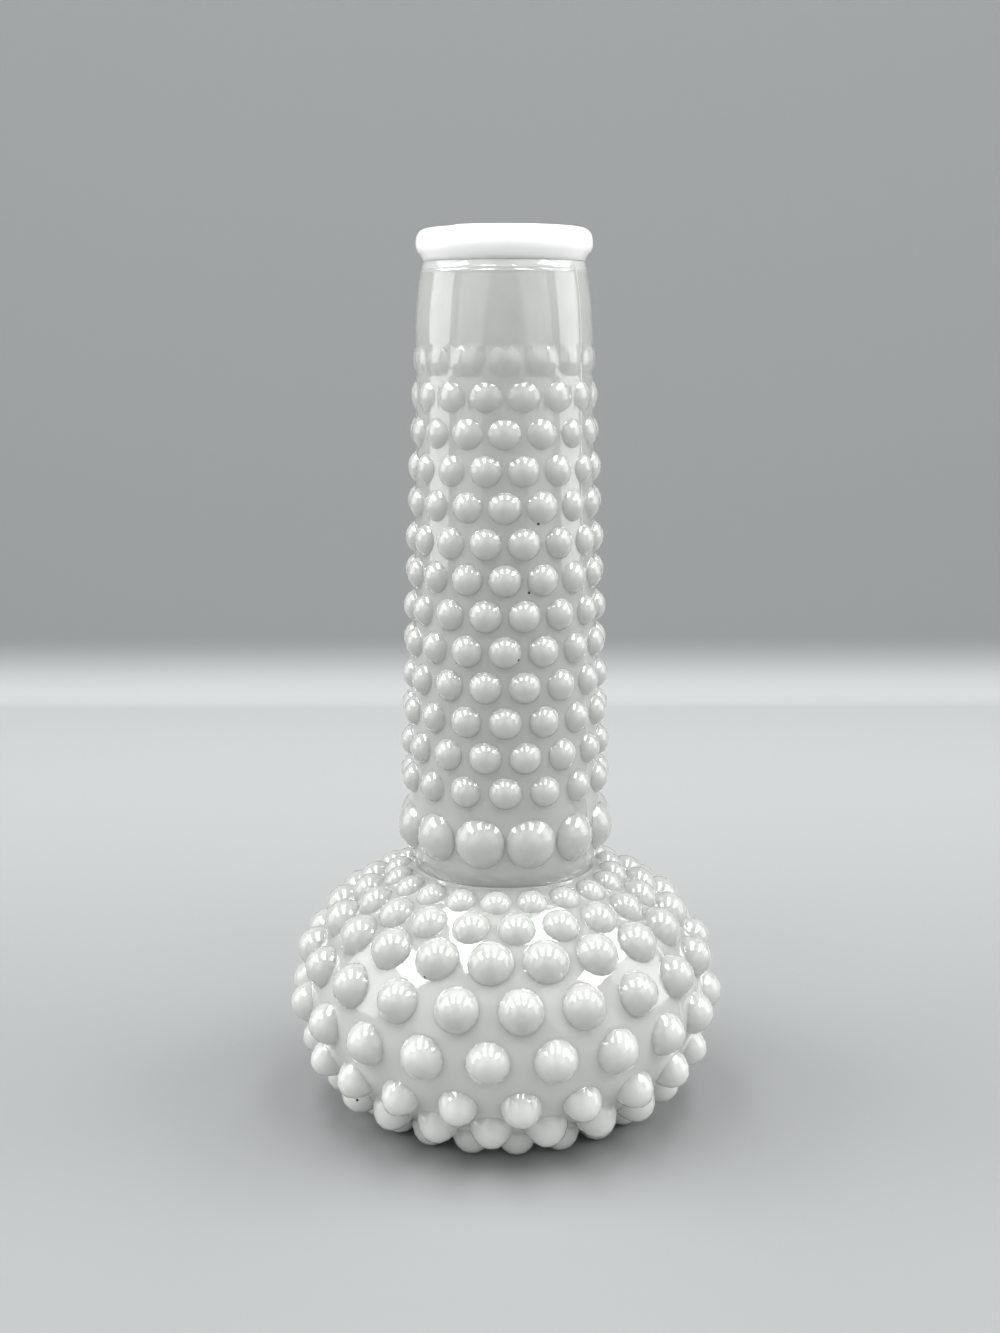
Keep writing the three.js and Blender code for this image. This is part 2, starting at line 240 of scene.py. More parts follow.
hollow_radius = FOOT_RADIUS - FOOT_RING_WIDTH
outline = [bulb_face(level)[:2] for level in steps_between(foot_level, BULB_FACE_END, 54)]
outline += [bulb_face(CREASE_LINE_LEVEL + off,
                      CREASE_LINE_HEIGHT * bump_at(off, 0, CREASE_LINE_REACH))[:2]
            for off in (CREASE_LINE_REACH * share for share in (-1, -0.5, -0.25, 0, 0.25, 0.5, 1))]
outline += [(neck_face(crease + CREASE_FILLED) - 0.05, crease)]
outline += [(neck_face(h), h) for h in (crease + ROOT_HEIGHT * (1 - math.cos(a))
                                        for a in steps_between(0, math.pi / 2, 12)[1:])
            if h > crease + CREASE_FILLED]
outline += [(neck_face(h), h) for h in steps_between(root_row, band, 44)[1:]]
band_curve = bowed((NECK_TOP_RADIUS, band), (NECK_TOP_RADIUS, band + BAND_SWELL_HEIGHT),
                   (undercut_radius, undercut), 64)[1:]
# every fourth point will do, but all of them where the lines are
outline += [p for i, p in enumerate(band_curve)
            if i % 4 == 3 or LIP_LINES_BETWEEN[0] < p[1] < LIP_LINES_BETWEEN[1]]
outline += [(mouth_radius, undercut)]
outline += [(neck_face(h) - NECK_WALL, h) for h in steps_between(band, crease, 20)]
inner_height = BULB_HALF_HEIGHT - BULB_WALL
outline += [
    (cavity_radius(h), h)
    for h in (
        bulb_centre + inner_height * math.sin(a)
        for a in steps_between(math.asin((crease - BULB_WALL - bulb_centre) / inner_height),
                               math.asin((FLOOR_THICKNESS - bulb_centre) / inner_height), 24)
    )
]
outline += [(0, FLOOR_THICKNESS)]
outline += [(hollow_radius * math.sin(a), FOOT_HOLLOW_DEPTH * max(math.cos(a), 0))
            for a in steps_between(0, math.pi / 2, 8)]
shell_mesh = turned_mesh("glass_shell", outline, SHELL_COLUMNS, moulded)
print("shell:", len(shell_mesh.polygons), "faces")

# %% [markdown]
# The hobs stand in rings, each ring half a step on from the one below. On the real vase every hob is
# a small pit in the mould that fills with glass. Placing 367 of them by hand invites mistakes, so
# the plan of the rows is a handful of points, one to a row, that carry the row's sizes as
# attributes. A node tree repeats each point round the axis and sets a bead on every copy. All rows
# of one plan share the roundness of their hobs, so the five rows of the neck that fade into the
# smooth band have a plan each.

# %% The plan of the rows
# level on the bulb in degrees, then radius and height of one hob in mm, from the foot up
BULB_ROWS = [
    (-46.9, 4.45, 3.7),
    (-34.4, 4.85, 4.6),
    (-21.0, 4.6, 4.6),
    (-1.0, 4.95, 4.2),
    (17.9, 5.0, 4.3),
    (34.6, 5.0, 3.9),
    (46.8, 4.2, 3.0),
    (57.2, 3.45, 2.2),
]
# hobs in a ring, and the turn of the bulb's rings in degrees
BULB_HOBS, BULB_TURN, ROOT_HOBS, NECK_HOBS = 20, 4.2, 12, 15
# sizes in mm: towards the band a neck hob gets lower and narrower, and the rows stand a little
# higher than the frame's
ROOT_HOB_RADIUS, ROOT_HOB_HEIGHT = 5.35, 2.9
NECK_HOB_RADIUS, NECK_HOB_HEIGHT, NECK_ROWS_UP = 3.55, 2.4, 0.6
TOP_ROW_HEIGHT, TOP_ROW_NARROWER = 0.7, 0.4
# how far a cap goes on below the face: further for a low hob, whose ball is large
CAP_BELOW, LOW_CAP_BELOW, LOW_HOB = 0.5, 0.9, 1.5


# %% A row as a point with its sizes
def row(ring, height, tilt, hob_radius, hob_height, number):
    """A row's point. The wall curves away under a hob, so the cap goes on below the face: a ball
    through the hob's foot and crown is followed down by a little more."""
    below = CAP_BELOW if hob_height > LOW_HOB else LOW_CAP_BELOW
    ball = (hob_radius**2 + hob_height**2) / (2 * hob_height)
    whole = hob_height + below
    foot = math.sqrt(2 * ball * whole - whole**2)
    return dict(ring=ring - below * math.cos(tilt), height=height - below * math.sin(tilt), tilt=tilt,
                hob_radius=foot * MM, hob_height=whole * MM, half_step=(number % 2) / 2,
                ball_over_foot=ball / foot)


def row_points(name, rows):
    """One point to a row, at its radius and height, with the row's sizes as attributes."""
    mesh = bpy.data.meshes.new(name)
    mesh.from_pydata([(row["ring"] * MM, 0, row["height"] * MM) for row in rows], [], [])
    for key in ("tilt", "hob_radius", "hob_height", "half_step"):
        attribute = mesh.attributes.new(key, "FLOAT", "POINT")
        attribute.data.foreach_set("value", [row[key] for row in rows])
    return add_object(name, mesh)


# %% One plan to each kind of hob
bulb_rows = [row(*bulb_face(level), hob_radius, hob_height, i)
             for i, (level, hob_radius, hob_height) in enumerate(BULB_ROWS)]
root_rows = [row(ROOT_RADIUS, root_row, 0, ROOT_HOB_RADIUS, ROOT_HOB_HEIGHT, 1)]
neck_rows = []
for i in range(NECK_ROWS):
    height = lowest_row + NECK_ROWS_UP + i * NECK_ROW_PITCH
    # towards the band the hobs get lower, and the last row is only just there
    faded = (i / (NECK_ROWS - 1)) ** 3
    hob_height = NECK_HOB_HEIGHT + (TOP_ROW_HEIGHT - NECK_HOB_HEIGHT) * faded
    hob_radius = NECK_HOB_RADIUS - TOP_ROW_NARROWER * faded
    neck_rows.append(row(neck_face(height), height, 0, hob_radius, hob_height, i))
FADING = 5
shared = [("Bulb hobs", bulb_rows, BULB_HOBS, BULB_TURN), ("Root hobs", root_rows, ROOT_HOBS, 0.0),
          ("Neck hobs", neck_rows[:-FADING], NECK_HOBS, 0.0)]
fading = [(f"Fading hobs {i + 1}", [neck_rows[i - FADING]], NECK_HOBS, 0.0) for i in range(FADING)]
plans = {}
for name, rows, count, first_turn in shared + fading:
    ratio = sum(r["ball_over_foot"] for r in rows) / len(rows)
    plans[name] = (row_points(name, rows), count, first_turn, ratio)
    print(f"{name}: {count * len(rows)}, ball over foot {ratio:.3f}")


# %% [markdown]
# Node trees are built in the script, so that the lesson shows all of them. Three small helpers keep
# that readable: one adds a node with its settings and links, one starts a geometry tree with named
# inputs, and one sets those inputs on a modifier. A modifier knows its inputs by an identifier and
# not by the name that the reader sees, so the last helper looks the identifiers up.


# %% Helpers for node trees
def add_node(tree, kind, settings=None, **links):
    """Adds a node and gives its outputs. Settings are its properties; links name its input sockets,
    by name or by i and a number, each with a value or with the output socket that feeds it."""
    node = tree.nodes.new(kind)
    for key, value in (settings or {}).items():
        setattr(node, key, value)
    for key, value in links.items():
        numbered = key[0] == "i" and key[1:].isdigit()
        socket = node.inputs[int(key[1:]) if numbered else key.replace("_", " ")]
        if isinstance(value, bpy.types.NodeSocket):
            tree.links.new(value, socket)
        else:
            socket.default_value = value
    return node.outputs


def new_tree(name, inputs):
    """A geometry tree with one mesh in, one mesh out and the named inputs."""
    tree = bpy.data.node_groups.new(name, "GeometryNodeTree")
    tree.interface.new_socket("Geometry", in_out="INPUT", socket_type="NodeSocketGeometry")
    for title, kind in inputs.items():
        tree.interface.new_socket(title, in_out="INPUT", socket_type="NodeSocket" + kind)
    tree.interface.new_socket("Geometry", in_out="OUTPUT", socket_type="NodeSocketGeometry")
    return tree


def set_inputs(modifier, **values):
    """Sets a tree's named inputs by their identifiers, before the object is first evaluated."""
    sockets = {s.name: s.identifier for s in modifier.node_group.interface.items_tree
               if s.in_out == "INPUT"}
    for name, value in values.items():
        modifier[sockets[name.replace("_", " ")]] = value


# %% [markdown]
# The rings come first. A row's point is repeated as often as its ring has hobs, and each copy is
# turned to its place about the axis. It also keeps the direction in which the face looks there, out
# by the cosine of the tilt and up by its sine, so that its hob will stand square on the glass.


# %% Places on the rings
def ring_places(tree, start, sizes):
    """Points turned about the axis, and the rotation that stands a hob on the face at each."""
    copies = add_node(tree, "GeometryNodeDuplicateElements", {"domain": "POINT"},
                      Geometry=start["Geometry"], Amount=start["Hobs in a ring"])
    place = add_node(tree, "ShaderNodeMath", {"operation": "ADD"}, i0=copies["Duplicate Index"],
                     i1=sizes["half_step"])[0]
    step = add_node(tree, "ShaderNodeMath", {"operation": "DIVIDE"}, i0=2 * math.pi,
                    i1=start["Hobs in a ring"])[0]
    turn = add_node(tree, "ShaderNodeMath", {"operation": "MULTIPLY_ADD"}, i0=place, i1=step,
                    i2=start["First turn"])[0]
    at = add_node(tree, "ShaderNodeSeparateXYZ", Vector=add_node(tree, "GeometryNodeInputPosition")[0])
    sine = add_node(tree, "ShaderNodeMath", {"operation": "SINE"}, i0=turn)[0]
    cosine = add_node(tree, "ShaderNodeMath", {"operation": "COSINE"}, i0=turn)[0]
    forward = add_node(tree, "ShaderNodeMath", {"operation": "MULTIPLY"}, i0=cosine, i1=-1.0)[0]
    level_out = add_node(tree, "ShaderNodeMath", {"operation": "COSINE"}, i0=sizes["tilt"])[0]
    outward = add_node(
        tree, "ShaderNodeCombineXYZ",
        X=add_node(tree, "ShaderNodeMath", {"operation": "MULTIPLY"}, i0=level_out, i1=sine)[0],
        Y=add_node(tree, "ShaderNodeMath", {"operation": "MULTIPLY"}, i0=level_out, i1=forward)[0],
        Z=add_node(tree, "ShaderNodeMath", {"operation": "SINE"}, i0=sizes["tilt"])[0])[0]
    kept = add_node(tree, "GeometryNodeStoreNamedAttribute", {"data_type": "FLOAT_VECTOR"},
                    Geometry=copies["Geometry"], Name="outward", Value=outward)[0]
    ring_place = add_node(
        tree, "ShaderNodeCombineXYZ",
        X=add_node(tree, "ShaderNodeMath", {"operation": "MULTIPLY"}, i0=at["X"], i1=sine)[0],
        Y=add_node(tree, "ShaderNodeMath", {"operation": "MULTIPLY"}, i0=at["X"], i1=forward)[0],
        Z=at["Z"])[0]
    placed = add_node(tree, "GeometryNodeSetPosition", Geometry=kept, Position=ring_place)[0]
    direction = add_node(tree, "GeometryNodeInputNamedAttribute", {"data_type": "FLOAT_VECTOR"},
                         Name="outward")["Attribute"]
    rotation = add_node(tree, "FunctionNodeAlignRotationToVector", {"axis": "Z"}, Vector=direction)[0]
    return placed, rotation


# %% [markdown]
# One bead is a cap of a ball that is a little wider than its own foot, as the silhouettes of the
# neck show: round arcs that meet in sharp notches. It starts as a unit ball of few faces. With k as
# the ball's radius over the foot's, a point at height z of the unit ball moves to
# (sqrt(z^2 + k^2 - 1) - sqrt(k^2 - 1)) / (k - sqrt(k^2 - 1)), and the lower half becomes a short
# plug that stays inside the wall.

# %% One bead
BEAD_SEGMENTS, BEAD_RINGS = 16, 8
PLUG_FROM, PLUG_SHARE = -0.38, 0.6


def bead_cap(tree, ratio):
    """A cap one unit wide and one high, with its plug. ratio is the ball's radius over the foot's."""
    ball = add_node(tree, "GeometryNodeMeshUVSphere", Segments=BEAD_SEGMENTS, Rings=BEAD_RINGS,
                    Radius=1.0)["Mesh"]
    on_ball = add_node(tree, "ShaderNodeSeparateXYZ",
                       Vector=add_node(tree, "GeometryNodeInputPosition")[0])
    spare = add_node(tree, "ShaderNodeMath", {"operation": "MULTIPLY_ADD"}, i0=ratio, i1=ratio,
                     i2=-1.0)[0]
    centre_depth = add_node(tree, "ShaderNodeMath", {"operation": "SQRT"}, i0=spare)[0]
    rise = add_node(tree, "ShaderNodeMath", {"operation": "SUBTRACT"}, i0=ratio, i1=centre_depth)[0]
    above = add_node(tree, "ShaderNodeMath", {"operation": "MAXIMUM"}, i0=on_ball["Z"], i1=0.0)[0]
    shallow = add_node(tree, "ShaderNodeMath", {"operation": "MAXIMUM"}, i0=on_ball["Z"],
                       i1=PLUG_FROM)[0]
    below = add_node(tree, "ShaderNodeMath", {"operation": "MINIMUM"}, i0=shallow, i1=0.0)[0]
    squared = add_node(tree, "ShaderNodeMath", {"operation": "MULTIPLY_ADD"}, i0=above, i1=above,
                       i2=spare)[0]
    root = add_node(tree, "ShaderNodeMath", {"operation": "SQRT"}, i0=squared)[0]
    lifted = add_node(tree, "ShaderNodeMath", {"operation": "SUBTRACT"}, i0=root, i1=centre_depth)[0]
    cap = add_node(tree, "ShaderNodeMath", {"operation": "DIVIDE"}, i0=lifted, i1=rise)[0]
    cap_and_plug = add_node(tree, "ShaderNodeMath", {"operation": "MULTIPLY_ADD"}, i0=below,
                            i1=PLUG_SHARE, i2=cap)[0]
    bead_place = add_node(tree, "ShaderNodeCombineXYZ", X=on_ball["X"], Y=on_ball["Y"],
                          Z=cap_and_plug)[0]
    return add_node(tree, "GeometryNodeSetPosition", Geometry=ball, Position=bead_place)[0]


# %% [markdown]
# On each place goes a bead, stretched to its row's width and height. No two pits of a mould are
# quite alike, so the width varies a little, by a random value with a fixed seed. The beads stay
# instances here, because they are made real where they are fused with the wall.


# %% The tree that sets rings of hobs
def rings_of_hobs_tree():
    tree = new_tree("rings_of_hobs", {"Hobs in a ring": "Int", "First turn": "Float",
                                      "Ball over foot": "Float", "Unevenness": "Float", "Seed": "Int"})
    start = tree.nodes.new("NodeGroupInput").outputs
    sizes = {key: add_node(tree, "GeometryNodeInputNamedAttribute", Name=key)["Attribute"]
             for key in ("tilt", "hob_radius", "hob_height", "half_step")}
    placed, rotation = ring_places(tree, start, sizes)
    bead = bead_cap(tree, start["Ball over foot"])
    least = add_node(tree, "ShaderNodeMath", {"operation": "SUBTRACT"}, i0=1.0,
                     i1=start["Unevenness"])[0]
    most = add_node(tree, "ShaderNodeMath", {"operation": "ADD"}, i0=1.0, i1=start["Unevenness"])[0]
    vary = add_node(tree, "FunctionNodeRandomValue", {"data_type": "FLOAT"}, i2=least, i3=most,
                    Seed=start["Seed"])[1]
    width = add_node(tree, "ShaderNodeMath", {"operation": "MULTIPLY"}, i0=sizes["hob_radius"],
                     i1=vary)[0]
    size = add_node(tree, "ShaderNodeCombineXYZ", X=width, Y=width, Z=sizes["hob_height"])[0]
    hobs = add_node(tree, "GeometryNodeInstanceOnPoints", Points=placed, Instance=bead,
                    Rotation=rotation, Scale=size)[0]
    add_node(tree, "NodeGroupOutput", i0=hobs)
    return tree


# %% Rings on every plan
FIRST_SEED, UNEVENNESS = 11, 0.02

hob_tree = rings_of_hobs_tree()
for number, (plan, count, first_turn, ratio) in enumerate(plans.values()):
    rings = plan.modifiers.new("rings", "NODES")
    rings.node_group = hob_tree
    set_inputs(rings, Hobs_in_a_ring=count, First_turn=math.radians(first_turn),
               Ball_over_foot=ratio, Unevenness=UNEVENNESS, Seed=FIRST_SEED + number)
print("tree", hob_tree.name, "with", len(hob_tree.nodes), "nodes")

# %% [markdown]
# A press mould opens in two halves, and where they meet a hair of glass runs up the vase between
# the hobs, on the right as seen here and opposite to it. It follows the face, so it is a curve along
# the outline with a round bead as its section, swept by a node tree. It stops at the crease, because
# a sweep would cross itself in so sharp a corner, and starts again on the neck.

# %% Mould seams
SEAM_TURNS, SEAM_RADIUS, SEAM_SUNK = (57.0, -123.0), 0.3, 0.08
# on the bulb between two levels in degrees, on the neck from some millimetres over the crease
SEAM_OVER_FOOT, SEAM_BULB_END, SEAM_OVER_CREASE = 6, 61.5, 3


def seam_tree():
    tree = new_tree("mould_seams", {"Bead radius": "Float"})
    start = tree.nodes.new("NodeGroupInput").outputs
    path = add_node(tree, "GeometryNodeMeshToCurve", Mesh=start["Geometry"])[0]
    section = add_node(tree, "GeometryNodeCurvePrimitiveCircle", Resolution=8,
                       Radius=start["Bead radius"])[0]
    swept = add_node(tree, "GeometryNodeCurveToMesh", Curve=path, Profile_Curve=section,
                     Fill_Caps=True)[0]
    add_node(tree, "NodeGroupOutput", i0=swept)
    return tree


bulb_path = [bulb_face(level, -SEAM_SUNK)[:2]
             for level in steps_between(foot_level + SEAM_OVER_FOOT, SEAM_BULB_END, 40)]
neck_path = [(neck_face(h) - SEAM_SUNK, h)
             for h in steps_between(crease + SEAM_OVER_CREASE, band, 60)]
neck_path += [(r - SEAM_SUNK, h) for r, h in band_curve[3:-3:4]]
verts, edges = [], []
for turn in map(math.radians, SEAM_TURNS):
    for path in (bulb_path, neck_path):
        edges += [(len(verts) + i, len(verts) + i + 1) for i in range(len(path) - 1)]
        verts += [(r * MM * math.sin(turn), -r * MM * math.cos(turn), z * MM) for r, z in path]
seam_mesh = bpy.data.meshes.new("seam_paths")
seam_mesh.from_pydata(verts, edges, [])
seams = add_object("seam_paths", seam_mesh)
sweep = seams.modifiers.new("sweep", "NODES")
sweep.node_group = seam_tree()
set_inputs(sweep, Bead_radius=SEAM_RADIUS * MM)
print("seam paths:", len(verts), "points")

# %% [markdown]
# Colours are written as sRGB hex, as a paint chart gives them, and one function turns them to the
# linear values that shaders work in.


# %% Colours
def colour(hex_value):
    """An sRGB hex colour as linear red, green, blue and a full alpha."""
    parts = [int(hex_value[i:i + 2], 16) / 255 for i in (1, 3, 5)]
    return [c / 12.92 if c <= 0.04045 else ((c + 0.055) / 1.055) ** 2.4 for c in parts] + [1.0]


# %% [markdown]
# Opaline is soda glass made cloudy by fine crystals of fluoride. Light enters, scatters over some
# millimetres and comes out soft and grey-green, and the skin over it is as smooth as window glass,
# so the form is read from its reflections. A plain white plastic would look chalky, and a clear
# glass with fog inside would be slow to render, so the body is a subsurface scatter of some
# millimetres under a sharp dielectric gloss. Soda glass has an IOR of about 1.52; 1.6 and a clear
# coat make its mirror images as bright as in the photograph. The crystals lie in clouds, the pressed
# skin waves a little, and here and there a speck of the melting pot is caught in the glass. Towards the
# foot the glass is painted paler, a painted glow that stands in for light coming through the glass from
# above. The last millimetres of the band under the lip are painted paler too, painted light that fills
# the shade under the lip, and there the glass scatters light over a shorter way.

# %% Opaline glass for the moulded body
CLOUD, SPECK_GAP, SPECK = 7 * MM, 11 * MM, 0.34 * MM
# the skin's wave and grain, each by its width and its height
SKIN_WAVE, SKIN_WAVE_HEIGHT, SKIN_GRAIN, SKIN_GRAIN_HEIGHT = 5 * MM, 0.05 * MM, 0.9 * MM, 0.008 * MM
# how far light spreads in the glass and in the zone under the lip, how far down from the lip the painted
# light reaches, and how far up from the foot the painted glow reaches, in mm
SCATTER, UNDER_LIP_SCATTER, PAINTED_LIGHT_UNDER_LIP, PAINTED_GLOW_REACH = 5 * MM, 1.2 * MM, 3.0, 50


def opaline_glass():
    """Pressed opaline glass: cloudy and grey-green inside, glossy and slightly wavy outside."""
    material = bpy.data.materials.new("pressed opaline glass")
    material.use_nodes = True
    tree = material.node_tree
    shader = tree.nodes["Principled BSDF"]
    place = add_node(tree, "ShaderNodeTexCoord")["Object"]
    cloud = add_node(tree, "ShaderNodeTexNoise", Vector=place, Scale=1 / CLOUD, Detail=3.0)[0]
    cloudy = add_node(tree, "ShaderNodeMix", {"data_type": "RGBA"}, i0=cloud, i6=colour("#afb0ad"),
                      i7=colour("#bcbeba"))[2]
    height = add_node(tree, "ShaderNodeSeparateXYZ", Vector=place)["Z"]
    # painted glow: towards the foot the glass is painted paler, standing in for light that comes through
    # the glass from above
    painted_glow = add_node(tree, "ShaderNodeMapRange", {"interpolation_type": "SMOOTHSTEP"}, Value=height,
                     From_Min=PAINTED_GLOW_REACH * MM, From_Max=0.0)[0]
    with_painted_glow = add_node(tree, "ShaderNodeMix", {"data_type": "RGBA"}, i0=painted_glow, i6=cloudy,
                     i7=colour("#d8dad6"))[2]
    # painted light: the last millimetres of the band under the lip are painted paler, filling the shade
    # under the lip; the same zone scatters light over a shorter way
    painted_light_zone_under_lip = add_node(tree, "ShaderNodeMapRange", {"interpolation_type": "SMOOTHSTEP"}, Value=height,
                      From_Min=(undercut - PAINTED_LIGHT_UNDER_LIP) * MM, From_Max=undercut * MM)[0]
    tone = add_node(tree, "ShaderNodeMix", {"data_type": "RGBA"}, i0=painted_light_zone_under_lip, i6=with_painted_glow,
                    i7=colour("#d6d8d5"))[2]
    spots = add_node(tree, "ShaderNodeTexVoronoi", Vector=place, Scale=1 / SPECK_GAP)["Distance"]
    speck = add_node(tree, "ShaderNodeMath", {"operation": "LESS_THAN"}, i0=spots,
                     i1=SPECK / SPECK_GAP)[0]
    base = add_node(tree, "ShaderNodeMix", {"data_type": "RGBA"}, i0=speck, i6=tone,
                    i7=colour("#3b3d3a"))[2]
    tree.links.new(base, shader.inputs["Base Color"])
    depth = add_node(tree, "ShaderNodeMapRange", Value=painted_light_zone_under_lip, To_Min=SCATTER,
                     To_Max=UNDER_LIP_SCATTER)[0]
    tree.links.new(depth, shader.inputs["Subsurface Scale"])
    wave = add_node(tree, "ShaderNodeTexNoise", Vector=place, Scale=1 / SKIN_WAVE, Detail=1.0)[0]
    waved = add_node(tree, "ShaderNodeBump", Strength=1.0, Distance=SKIN_WAVE_HEIGHT,
                     Height=wave)[0]
    grain = add_node(tree, "ShaderNodeTexNoise", Vector=place, Scale=1 / SKIN_GRAIN, Detail=2.0)[0]
    skin = add_node(tree, "ShaderNodeBump", Strength=1.0, Distance=SKIN_GRAIN_HEIGHT,
                    Height=grain, Normal=waved)[0]
    tree.links.new(skin, shader.inputs["Normal"])
    shader.inputs["Roughness"].default_value = 0.05
    shader.inputs["IOR"].default_value = 1.6
    shader.inputs["Coat Weight"].default_value = 1.0
    shader.inputs["Coat Roughness"].default_value = 0.03
    shader.inputs["Subsurface Weight"].default_value = 1.0
    shader.inputs["Subsurface Radius"].default_value = (1.0, 1.0, 1.0)
    return material


# %% [markdown]
# The lip was heated again and rolled by hand. There the crystals grew, so it is dense and white,
# scatters more light than it lets through, and its fire-polished skin has faint dimples.


# %% Dense opal glass for the lip
DIMPLE_DEPTH, LIP_SCATTER = 0.04 * MM, 4 * MM


def lip_glass():
    """Fire-polished opal glass: white and dense, glossy, with a skin dimpled by the tool."""
    material = bpy.data.materials.new("fire-polished opal glass")
    material.use_nodes = True
    tree = material.node_tree
    shader = tree.nodes["Principled BSDF"]
    place = add_node(tree, "ShaderNodeTexCoord")["Object"]
    cloud = add_node(tree, "ShaderNodeTexNoise", Vector=place, Scale=1 / CLOUD, Detail=3.0)[0]
    tone = add_node(tree, "ShaderNodeMix", {"data_type": "RGBA"}, i0=cloud, i6=colour("#f4f6f4"),
                    i7=colour("#fdfefd"))[2]
    tree.links.new(tone, shader.inputs["Base Color"])
    dimples = add_node(tree, "ShaderNodeTexNoise", Vector=place, Scale=1 / SKIN_GRAIN, Detail=2.0)[0]
    skin = add_node(tree, "ShaderNodeBump", Strength=1.0, Distance=DIMPLE_DEPTH, Height=dimples)[0]
    tree.links.new(skin, shader.inputs["Normal"])
    shader.inputs["Roughness"].default_value = 0.08
    shader.inputs["IOR"].default_value = 1.5
    shader.inputs["Subsurface Weight"].default_value = 1.0
    shader.inputs["Subsurface Radius"].default_value = (1.0, 1.0, 1.0)
    shader.inputs["Subsurface Scale"].default_value = LIP_SCATTER
    return material


body_glass = opaline_glass()
rim_glass = lip_glass()
print("materials:", body_glass.name, "and", rim_glass.name)

# %% [markdown]
# Shell, hobs and seams are one glass, so they are fused: a union leaves a single closed skin with no
# walls inside it, which matters for a translucent material, since light scatters through whatever
# it meets. The hobs come in as instances, because the union then takes each as a body of its own.
# The notch where a hob meets the wall stays sharp, and every other edge is shaded smooth.

# %% Fuse the hobs with the shell
SHARP_OVER = 32  # degrees between two faces
FUSED = {**{name: plan[0] for name, plan in plans.items()}, "Seams": seams}


def fuse_tree():
    tree = new_tree("fused_glass", {**dict.fromkeys(FUSED, "Object"), "Sharp over": "Float",
                                    "Glass": "Material"})
    start = tree.nodes.new("NodeGroupInput").outputs
    union = add_node(tree, "GeometryNodeMeshBoolean", {"operation": "UNION", "solver": "MANIFOLD"})[0]
    tree.links.new(start["Geometry"], union.node.inputs["Mesh 2"])
    for name in FUSED:
        added = add_node(tree, "GeometryNodeObjectInfo", Object=start[name])["Geometry"]
        tree.links.new(added, union.node.inputs["Mesh 2"])
    smooth = add_node(tree, "GeometryNodeSetShadeSmooth", {"domain": "FACE"}, Geometry=union,
                      Shade_Smooth=True)[0]
    angle = add_node(tree, "GeometryNodeInputMeshEdgeAngle")["Unsigned Angle"]
    sharp = add_node(tree, "FunctionNodeCompare", {"operation": "GREATER_THAN"}, A=angle,
                     B=start["Sharp over"])[0]
    notched = add_node(tree, "GeometryNodeSetShadeSmooth", {"domain": "EDGE"}, Geometry=smooth,
                       Selection=sharp, Shade_Smooth=False)[0]
    real = add_node(tree, "GeometryNodeRealizeInstances", Geometry=notched)[0]
    glazed = add_node(tree, "GeometryNodeSetMaterial", Geometry=real, Material=start["Glass"])[0]
    add_node(tree, "NodeGroupOutput", i0=glazed)
    return tree


def as_plain_mesh(worked, name):
    """The evaluated object as a plain mesh of its own. The worked object is removed."""
    bpy.context.view_layer.update()
    evaluated = worked.evaluated_get(bpy.context.evaluated_depsgraph_get())
    mesh = bpy.data.meshes.new_from_object(evaluated)
    mesh.name = name
    bpy.data.objects.remove(worked)
    return add_object(name, mesh)


def triangles(piece):
    return sum(len(face.vertices) - 2 for face in piece.data.polygons)


shell = add_object("glass_shell", shell_mesh)
fusing = shell.modifiers.new("fuse", "NODES")
fusing.node_group = fuse_tree()
set_inputs(fusing, **{name.replace(" ", "_"): thing for name, thing in FUSED.items()},
           Sharp_over=math.radians(SHARP_OVER), Glass=body_glass)
moulded_body = as_plain_mesh(shell, "moulded_body")
for thing in FUSED.values():
    bpy.data.objects.remove(thing)
print("moulded body:", len(moulded_body.data.polygons), "faces,", triangles(moulded_body), "triangles")

# %% [markdown]
# The lip is a thick ring, rolled over while the glass was hot. Its underside slopes in to the neck,
# and its top is round. Hand work shows: it wanders a tenth of a millimetre in and out, and at the
# front left a small step is left where the end of the roll lies over its start.

# %% The rolled lip
# heights over the undercut in mm, and how far out the slope of the underside starts
SLOPE_FOOT, SLOPE_TOP, SLOPE_OUT, BORE_TOP = 1.9, 4.0, 0.85, 3.4
# the pull of the two bowed parts under the lip's edge
FOOT_BOW, EDGE_BOW = 1.0, 2.6
# the step by its place and length in degrees and its height in mm; the wander and where it is full
ROLL_STEP_AT, ROLL_STEP_LENGTH, ROLL_STEP, WANDER, WANDER_FULL = -43.0, 10, 0.22, 0.1, 3
LIP_COLUMNS = 160

lip_radius = undercut_radius + LIP_OVERHANG


def rolled(radius, height, turn):
    """A lip point with the unevenness of hand work, which grows from the joint up."""
    share = min((height - undercut) / WANDER_FULL, 1)
    wander = 0.6 * math.sin(2 * turn + 1.1) + 0.4 * math.sin(5 * turn)
    # steep up over the step's length, then slowly down over the rest of the turn
    past = (math.degrees(turn) - ROLL_STEP_AT) % 360
    rest = 360 - ROLL_STEP_LENGTH
    level = past / ROLL_STEP_LENGTH if past < ROLL_STEP_LENGTH else 1 - (past - ROLL_STEP_LENGTH) / rest
    return radius + WANDER * share * wander, height - share * (ROLL_STEP - ROLL_STEP * level)


